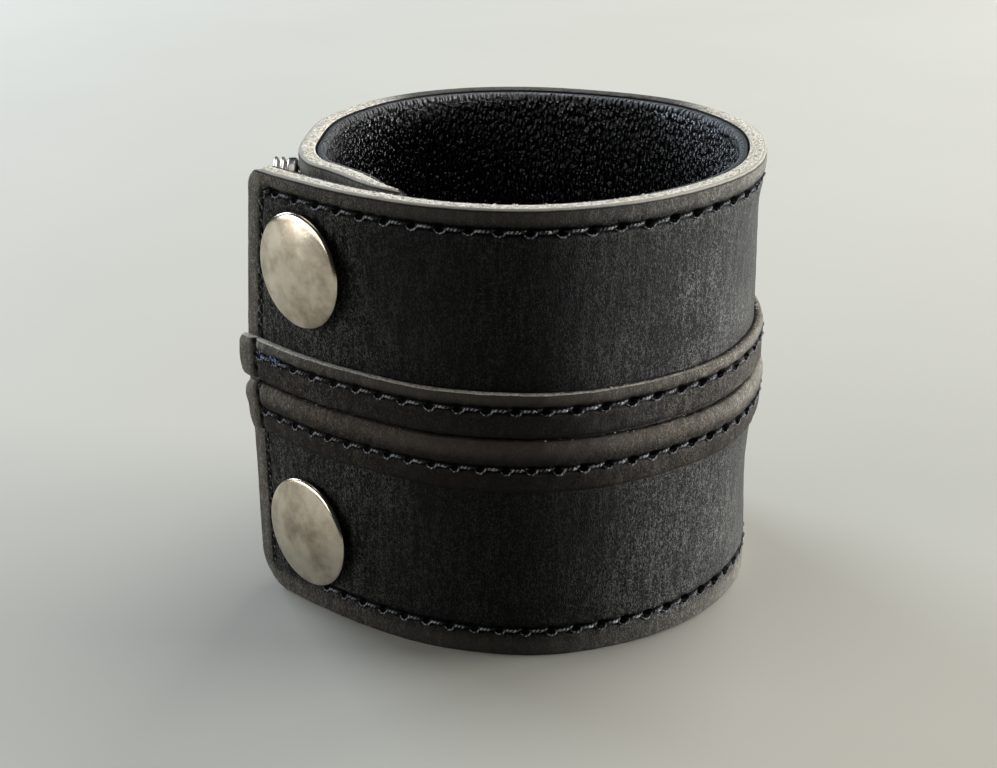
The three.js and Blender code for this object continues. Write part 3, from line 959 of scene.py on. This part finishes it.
# A lit strand, a pale tube that stands for painted highlight on the thread and the holes' rims, for holes 3.6
# mm apart: the way along from its hole, the way down, out, and its radius
STRAND_PITCH = 3.6
STRAND_ALONG = [-0.82, -0.62, -0.34, 0.0, 0.34, 0.62, 0.84, 1.15, 1.55, 1.95, 2.35, 2.62]
STRAND_UP = [-0.30, -0.66, -0.92, -1.0, -0.84, -0.42, -0.02, 0.12, 0.16, 0.10, 0.05, -0.05]
STRAND_OUT = [-0.10, 0.0, 0.05, 0.06, 0.05, 0.02, 0.04, 0.14, 0.18, 0.18, 0.10, -0.16]
STRAND_RADIUS = [0.03, 0.07, 0.10, 0.13, 0.12, 0.13, 0.14, 0.20, 0.14, 0.21, 0.14, 0.03]


def lit_strands(bm, count, start, pitch, place, source, dip):
    """A pale strand painted as the highlight that the thread and the hole rims catch: under each awl hole,
    then level to the next one.
    """
    for k in range(count):
        grow = source.uniform(0.85, 1.15)
        a = np.array(STRAND_ALONG) * pitch / STRAND_PITCH
        b = np.array(STRAND_UP) * dip * grow
        a = a + start + k * pitch + source.uniform(-0.10, 0.10)
        b = b + source.uniform(-0.05, 0.05)
        s, h, out = place(a, b, np.array(STRAND_OUT))
        tube(bm, s, h, out, STRAND_RADIUS, 5)


def sew_line(name, line, last, face, seed):
    """The threads and lit strands of a line along the band. face gives how far out the leather is."""
    _, first, pitch = line
    source = random.Random(seed)
    count = int((last - first) / pitch)

    def place(a, b, lift):
        return a, drifted(a, line) + b, face(a) - THREAD_SEAT + lift

    bm = new_mesh()
    thread_bodies(bm, count, first, pitch, place, source)
    sewn(f"{name}_thread", bm, dark_thread)
    bm = new_mesh()
    lit_strands(bm, count, first, pitch, place, source, 0.62)
    sewn(f"{name}_strand", bm, grey_strand)


upper_level = strip_face(UPPER_TABLE, UPPER_STRIP, UPPER_THICKNESS, UPPER_LINE[0])
lower_level = strip_face(LOWER_TABLE, LOWER_STRIP, LOWER_THICKNESS, LOWER_LINE[0])
band_last = LENGTH - BAND_LINE_END
strip_last = strip_stop - STRIP_LINE_END
sew_line("top_stitch", TOP_LINE, band_last, lambda s: 0.0, 11)
sew_line("bottom_stitch", BOTTOM_LINE, band_last, lambda s: 0.0, 12)
sew_line("upper_strip_stitch", UPPER_LINE, strip_last,
         lambda s: upper_level * (1 - PRESS * rise(s, *PRESS_SPAN)), 13)
sew_line("lower_strip_stitch", LOWER_LINE, strip_last, lambda s: lower_level, 14)


def strips_under(h):
    """How far the strips lift a thread that is pulled down across them."""
    for table, span, thickness in ((UPPER_TABLE, UPPER_STRIP, UPPER_THICKNESS),
                                   (LOWER_TABLE, LOWER_STRIP, LOWER_THICKNESS)):
        if span[0] < h < span[1]:
            return strip_face(table, span, thickness, h) - PULLED_IN
    return 0.0


def sew_flap_line():
    source = random.Random(15)
    start = BOTTOM_LINE[0]
    count = int((FLAP_LINE_TOP - start) / FLAP_PITCH)
    corner_pitch = TURN_RADIUS * math.pi / 2 / CORNER_STITCHES

    def upright(a, b, lift):
        out = np.array([strips_under(h) for h in a]) - FLAP_THREAD_SEAT + lift
        return flap_end(a) + FLAP_LINE - b, a, out

    def arc(a, b, lift):
        angle = math.pi - a / TURN_RADIUS
        s = TURN_CENTRE + (TURN_RADIUS + b) * np.cos(angle)
        return s, FLAP_LINE_TOP + (TURN_RADIUS + b) * np.sin(angle), lift - ARC_THREAD_SEAT

    bm = new_mesh()
    thread_bodies(bm, count, start, FLAP_PITCH, upright, source)
    thread_bodies(bm, CORNER_STITCHES, 0, corner_pitch, arc, source)
    sewn("flap_stitch_thread", bm, dark_thread)
    bm = new_mesh()
    lit_strands(bm, count, start, FLAP_PITCH, upright, source, 0.5)
    lit_strands(bm, CORNER_STITCHES, 0, corner_pitch, arc, source, 0.4)
    sewn("flap_stitch_strand", bm, dim_strand)


sew_flap_line()


FIBRE_ALONG = np.array([-0.25, 0.35, 0.75, 1.0])
FIBRE_RADIUS = np.array([0.10, 0.08, 0.05, 0.012])


def fibres(name, spots, material, seed):
    """Short leather fibres that stand up from a cut edge. A spot is (s, h, out, length)."""
    source = random.Random(seed)
    bm = new_mesh()
    t = FIBRE_ALONG
    for s, h, out, length in spots:
        lean = source.uniform(-0.5, 0.5)
        push = source.uniform(-0.25, 0.45) * length
        radius = FIBRE_RADIUS * source.uniform(0.7, 1.3)
        tube(bm, s + lean * length * t, h + length * t * 0.8, out + push * t * t, radius, 4)
    sewn(name, bm, material)


def rim_spots(count=520):
    """Fibres on the rim's cut edge, more of them near the lining, and none where the rim is dim."""
    source = random.Random(21)
    spots = []
    for _ in range(count):
        s = source.uniform(4, LENGTH - 6)
        if DIM_RIM[0] + 8 < s < DIM_RIM[1] - 6:
            continue
        inner = source.random() < 0.62
        out = -source.uniform(1.85, 2.15) if inner else -source.uniform(0.5, 1.9)
        thin = 1 - TUCK_SKIVE / LEATHER * float(rise(s, *TUCK_PARED))
        spots.append((s, HEIGHT - 0.12, out * thin, source.choice((0.12, 0.16, 0.2, 0.28))))
    return spots


def strip_spots(table, span, thickness, seed, count):
    """Fibres along a strip's top edge."""
    source = random.Random(seed)
    crest = table[-1][1] * (thickness + FIT)
    spots = []
    for _ in range(count):
        s = source.uniform(9, strip_stop - 2)
        out = source.uniform(0.25, 0.95) * crest
        spots.append((s, span[1] - 0.05, out, source.choice((0.12, 0.18, 0.26))))
    return spots


def fluff_spots(count=46):
    """Where the upper strip's first stitches are worn to a fluff."""
    source = random.Random(24)
    spots = []
    for _ in range(count):
        s = source.gauss(4.6, 0.35) if source.random() < 0.4 else source.gauss(7.4, 0.6)
        h = UPPER_LINE[0] + source.gauss(0.1, 0.3)
        spots.append((s, h, upper_level + 0.02, source.uniform(0.25, 0.5)))
    return spots


upper_spots = strip_spots(UPPER_TABLE, UPPER_STRIP, UPPER_THICKNESS, 22, 260)
lower_spots = strip_spots(LOWER_TABLE, LOWER_STRIP, LOWER_THICKNESS, 23, 60)
fibres("worn_thread_fluff", fluff_spots(), blue_fluff, 34)
fibres("rim_fibres", rim_spots(), raw_edge, 31)
fibres("upper_strip_fibres", upper_spots, strip_edge, 32)
fibres("lower_strip_fibres", lower_spots, strip_edge, 33)


# Snaps


def spun(name, outline, seat, material, node, steps=64, lift=0.0, tilt=0.0):
    """A turned metal piece on the band, from an outline of (radius, rise). Its seat is the way along
    and the level, and the tilt turns it about the upright."""
    s, level = seat
    bm = bmesh.new()
    verts = [bm.verts.new((r * MM, 0, z * MM)) for r, z in outline]
    edges = [bm.edges.new(pair) for pair in zip(verts, verts[1:])]
    bmesh.ops.spin(bm, geom=verts + edges, cent=(0, 0, 0), axis=(0, 0, 1), angle=2 * math.pi,
                   steps=steps, use_merge=True)
    bmesh.ops.remove_doubles(bm, verts=bm.verts, dist=MERGE)
    bmesh.ops.recalc_face_normals(bm, faces=bm.faces)
    _, tangent = band.at(s)
    out = outward_of(tangent)[0]
    axis = Vector((out[0], out[1], 0))
    side = Vector((tangent[0][0], tangent[0][1], 0))
    place = Vector(wrap([s], [level], [lift])[0])
    turn = Matrix((side, Vector((0, 0, 1)), axis)).transposed().to_4x4()
    turn = Matrix.Rotation(math.radians(tilt), 4, "Z") @ turn
    bmesh.ops.transform(bm, matrix=Matrix.Translation(place) @ turn, verts=bm.verts)
    bmesh.ops.recalc_face_normals(bm, faces=bm.faces)
    return finished(bm, name, [material], [node])


def smooth_outline(points, steps=5):
    """More points on a smooth line through an outline's corners."""
    path = Path(points)
    return [tuple(p) for p in path.points[:: PATH_STEPS // steps]] + [points[-1]]


# Outlines of the metal: the radius and the rise from the leather's face
CAP_DOME = [(6.2, 0.08), (7.0, 0.08), (7.36, 0.14), (7.5, 0.34), (7.46, 0.56), (7.28, 0.74), (6.9, 0.89),
            (6.2, 1.07), (5.2, 1.31), (4.0, 1.565), (2.6, 1.77), (1.2, 1.875), (0.0, CAP_RISE)]
POST_END = -(WALL + FIT + 0.4)
CAP_POST = [(0.0, POST_END), (1.4, POST_END), (1.5, POST_END + 0.2), (1.5, 0.1)]
STUD_BACK = [(0.0, -2.05), (3.9, -2.05), (4.0, -1.95), (4.0, -1.6), (1.5, -1.55)]
# The stud's flange, its two beads and the hollow at its top
STUD_FRONT = [
    (1.5, 0.22), (4.2, 0.22), (4.45, 0.32), (4.55, 0.55), (4.55, 1.30), (4.42, 1.50), (4.02, 1.62),
    (4.00, 1.74), (4.46, 1.86), (4.66, 2.06), (4.66, 2.24), (4.46, 2.44), (4.14, 2.54),
    (4.12, 2.64), (4.50, 2.76), (4.72, 2.96), (4.72, 3.14), (4.50, 3.32), (4.10, 3.40),
    (3.40, 3.40), (2.9, 3.30), (2.6, 2.9), (2.2, 2.6), (0.0, 2.6),
]

for key, level in CAP_LEVELS.items():
    spun(f"cap_{key}", CAP_POST + smooth_outline(CAP_DOME), (cap_seats[key] + CAP_SHIFT, level), cap_nickel,
         f"snap_cap_{key}", lift=CAP_LIFT, tilt=CAP_TILT)

for key, seat in spare_seats.items():
    spun(f"exposed_stud_{key}", STUD_BACK + STUD_FRONT, seat, stud_nickel,
         f"spare_stud_{key}", steps=48)

# The hidden sockets and closing studs keep the frame's own shapes
for node in ("snap_socket_upper", "snap_socket_lower", "snap_stud_upper", "snap_stud_lower"):
    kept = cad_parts[node]
    for slot in kept.material_slots:
        slot.link = "OBJECT"
        slot.material = stud_nickel


# Floor, light and camera

# Half the floor's width, in metres
FLOOR_HALF = 3


def make_floor():
    bm = bmesh.new()
    bmesh.ops.create_grid(bm, x_segments=2, y_segments=2, size=FLOOR_HALF)
    mesh = bpy.data.meshes.new("floor")
    bm.to_mesh(mesh)
    bm.free()
    mesh.materials.append(floor_look())
    floor = bpy.data.objects.new("floor", mesh)
    bpy.context.scene.collection.objects.link(floor)


def area_light(name, place, target, size, power, tint):
    data = bpy.data.lights.new(name, "AREA")
    data.shape = "RECTANGLE"
    data.size, data.size_y = size
    data.energy = power
    data.color = tint
    light = bpy.data.objects.new(name, data)
    light.location = place
    light.rotation_euler = (Vector(target) - Vector(place)).to_track_quat("-Z", "Y").to_euler()
    bpy.context.scene.collection.objects.link(light)


def make_camera():
    """The photo's view, from 23 cm in front of the cuff and 12 cm up."""
    wide, high = PHOTO_SIZE
    data = bpy.data.cameras.new("camera")
    data.sensor_width = SENSOR_WIDTH
    data.lens = FOCAL_PIXELS / wide * SENSOR_WIDTH
    data.shift_x = (wide / 2 - PHOTO_AXIS[0]) / wide
    data.shift_y = (PHOTO_AXIS[1] - high / 2) / wide
    data.clip_start = 0.01
    camera = bpy.data.objects.new("camera", data)
    pitch, roll = math.radians(CAMERA_PITCH), math.radians(CAMERA_ROLL)
    turn = Matrix.Rotation(math.pi / 2 - pitch, 4, "X") @ Matrix.Rotation(roll, 4, "Z")
    camera.matrix_world = Matrix.Translation(CAMERA_PLACE) @ turn
    bpy.context.scene.collection.objects.link(camera)
    bpy.context.scene.camera = camera


def make_world():
    """A dim, cool room."""
    world = bpy.data.worlds.new("room")
    world.use_nodes = True
    background = world.node_tree.nodes["Background"]
    background.inputs["Color"].default_value = (0.80, 0.86, 0.95, 1)
    background.inputs["Strength"].default_value = 0.03
    bpy.context.scene.world = world
    bpy.context.scene.view_settings.view_transform = "Standard"


# The lights: place and target in metres, size, power and tint
LIGHTS = {
    "window": ((0.50, 0.62, 0.70), (0, 0, 0.03), (0.8, 0.5), 9, (1, 1, 1)),
    "sky": ((0.0, 0.22, 0.95), (0, 0, 0.02), (0.9, 0.5), 3.4, (1, 1, 1)),
    "right_window": ((0.92, 0.08, 0.105), (0, 0, 0.03), (0.5, 0.18), 23, (1, 1, 1)),
    "cool_sky": ((-0.62, 0.70, 0.42), (0, 0, 0.03), (0.5, 0.4), 10, (0.70, 0.82, 1.0)),
    "left_card": ((-0.83, 0.02, 0.20), (0, 0, 0.04), (0.42, 0.22), 2.7, (1, 1, 1)),
    "dim_card": ((-0.78, -0.42, 0.34), (0, 0, 0.04), (0.5, 0.4), 2.4, (1, 1, 1)),
}

make_floor()
for name, values in LIGHTS.items():
    area_light(name, *values)
make_world()
make_camera()
